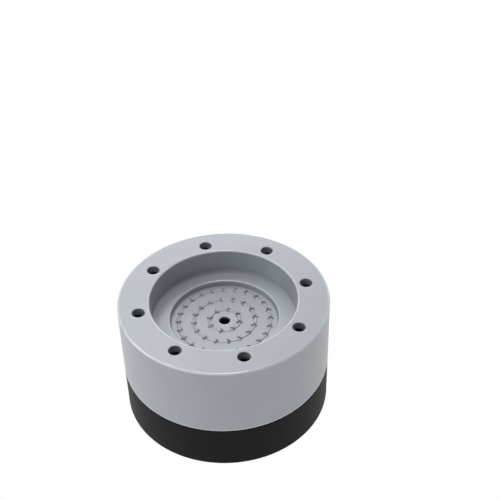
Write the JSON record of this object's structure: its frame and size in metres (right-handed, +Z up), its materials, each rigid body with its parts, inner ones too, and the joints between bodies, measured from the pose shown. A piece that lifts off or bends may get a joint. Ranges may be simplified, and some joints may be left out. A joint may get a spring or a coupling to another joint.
{
  "type": "anti-vibration pad",
  "caption": "Round anti-vibration pad: a grey cup with a stepped foot well, rim holes and raised grip arrows, over a black rubber base.",
  "frame": {"origin": "centre of the underside, on the floor that the pad stands on", "axes": "+Z up along the pad's axis, out of the foot well; +X through one of the rim holes"},
  "size_m": [0.072, 0.072, 0.0428],
  "materials": {
    "grey_plastic": "satin, very fine grain",
    "black_rubber": "smooth, slight sheen"
  },
  "bodies": {
    "root": {"foot_cup": "grey_plastic", "rubber_base": "black_rubber"}
  },
  "joints": []
}
